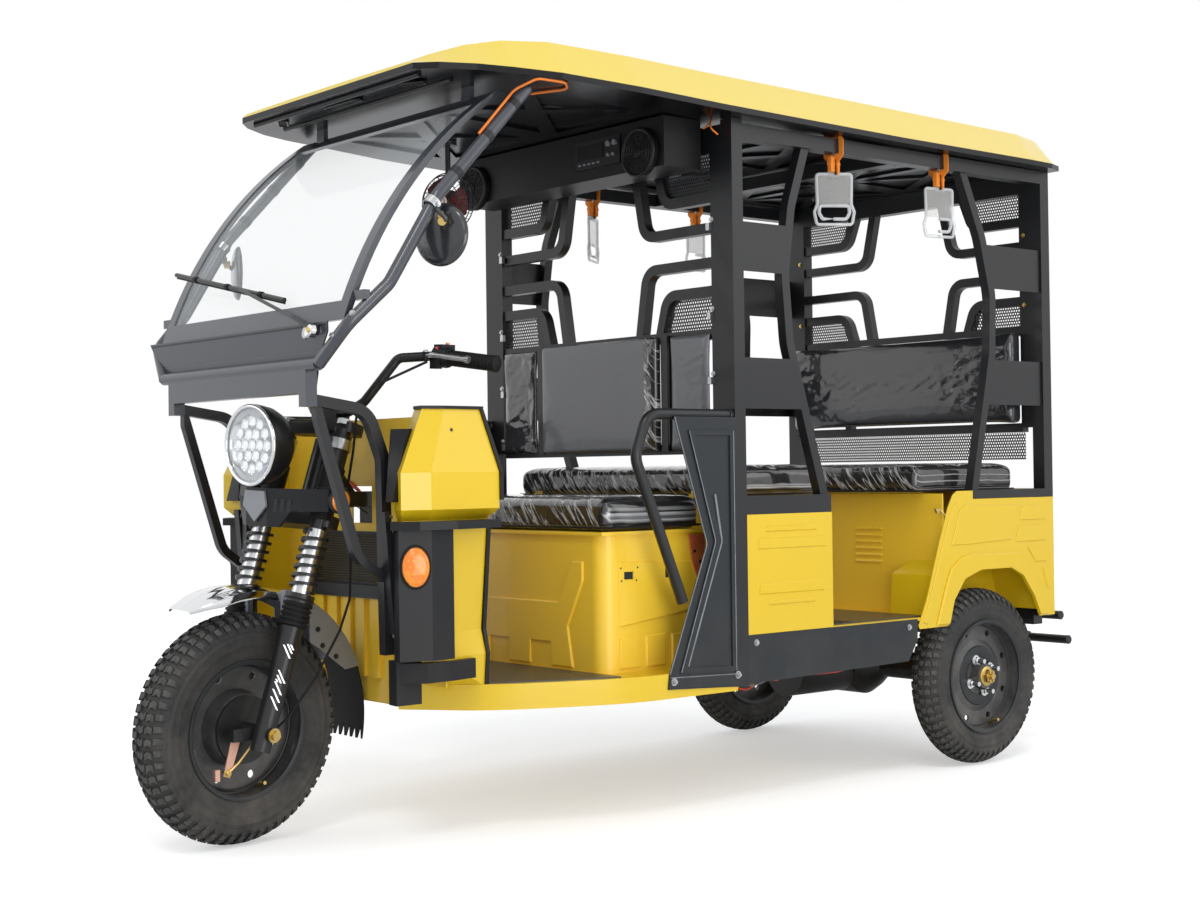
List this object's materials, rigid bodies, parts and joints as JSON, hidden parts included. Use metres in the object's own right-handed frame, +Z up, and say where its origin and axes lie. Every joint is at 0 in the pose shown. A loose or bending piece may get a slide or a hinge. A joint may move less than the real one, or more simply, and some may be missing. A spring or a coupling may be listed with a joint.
{
  "type": "electric auto rickshaw",
  "caption": "Open-sided passenger three-wheeler with handlebar steering, domed roof, facing bench seats, leg shields and a leaf-sprung rear axle.",
  "frame": {"origin": "on the ground at the middle of the overall length and width", "axes": "+Z up, the nose points along -Y and the vehicle's left side is +X"},
  "size_m": [1.096, 2.715, 1.801],
  "materials": {
    "yellow_paint": "gloss",
    "black_paint": "satin",
    "black_plastic": "satin",
    "grey_plastic": "satin",
    "amber_lens": "gloss",
    "red_lens": "gloss",
    "clear_glass": "gloss",
    "lamp": "gloss",
    "tyre": "matte",
    "rubber": "matte",
    "black_leather": "satin",
    "orange_web": "matte",
    "steel": "satin"
  },
  "bodies": {
    "body": {"chassis_frame": "black_paint", "floor_pan": "yellow_paint", "floor_mats": "rubber", "front_cowl": "yellow_paint", "cowl_grille": "black_paint", "leg_shields": "yellow_paint", "shield_mouldings": "black_plastic", "shield_collars": "black_plastic", "front_indicators": "amber_lens", "guard_hoops": "black_paint", "windscreen_frame": "black_paint", "windscreen_glass": "clear_glass", "apron_panel": "black_paint", "wiper": "black_paint", "mirrors": "black_plastic", "roof_skin": "yellow_paint", "roof_tray": "black_plastic", "cabin_frame": "black_paint", "partition_frame": "black_paint", "rear_frame": "black_paint", "mesh_panels": "black_paint", "partition_pads": "black_leather", "rear_backrest": "black_leather", "side_screens": "black_paint", "speaker_beam": "black_plastic", "cabin_fan": "black_plastic", "hand_straps": "orange_web", "driver_box": "yellow_paint", "driver_cushion": "black_leather", "front_bench": "yellow_paint", "front_bench_cushion": "black_leather", "rear_bench": "yellow_paint", "rear_bench_cushion": "black_leather", "battery_block": "grey_plastic", "arm_hoops": "black_paint", "kick_panels": "black_paint", "side_panels": "yellow_paint", "side_skirts": "black_paint", "rear_quarters": "yellow_paint", "rear_panel": "yellow_paint", "tail_lamps": "red_lens", "rear_bumper": "black_paint", "rear_axle": "black_paint", "leaf_springs": "black_paint", "roof_lead": "orange_web"},
    "steering": {"fork": "black_paint", "fork_cover": "black_plastic", "headlamp": "lamp", "handlebar": "black_paint", "brake_cable": "rubber", "mudguard": "black_paint", "mud_flap": "rubber"},
    "front_wheel_set": {"front_tyre": "tyre", "front_wheel": "black_paint"},
    "rear_left_wheel": {"rear_tyre_left": "tyre", "rear_wheel_left": "black_paint"},
    "rear_right_wheel": {"rear_tyre_right": "tyre", "rear_wheel_right": "black_paint"}
  },
  "joints": [
    {"name": "steering", "type": "hinge", "parent": "body", "child": "steering", "pos_m": [0, -1.0595, 0.258], "axis": [0, 0.3007, 0.9537], "range_deg": [-48, 32]},
    {"name": "front_wheel_spin", "type": "hinge", "parent": "steering", "child": "front_wheel_set", "pos_m": [0.00531, -1.09915, 0.25789], "axis": [0.9903, 0.1327, -0.0419], "continuous": true},
    {"name": "rear_left_wheel_spin", "type": "hinge", "parent": "body", "child": "rear_left_wheel", "pos_m": [0.447, 0.9375, 0.241], "axis": [1, 0, 0], "continuous": true},
    {"name": "rear_right_wheel_spin", "type": "hinge", "parent": "body", "child": "rear_right_wheel", "pos_m": [-0.447, 0.9375, 0.241], "axis": [1, 0, 0], "continuous": true}
  ]
}
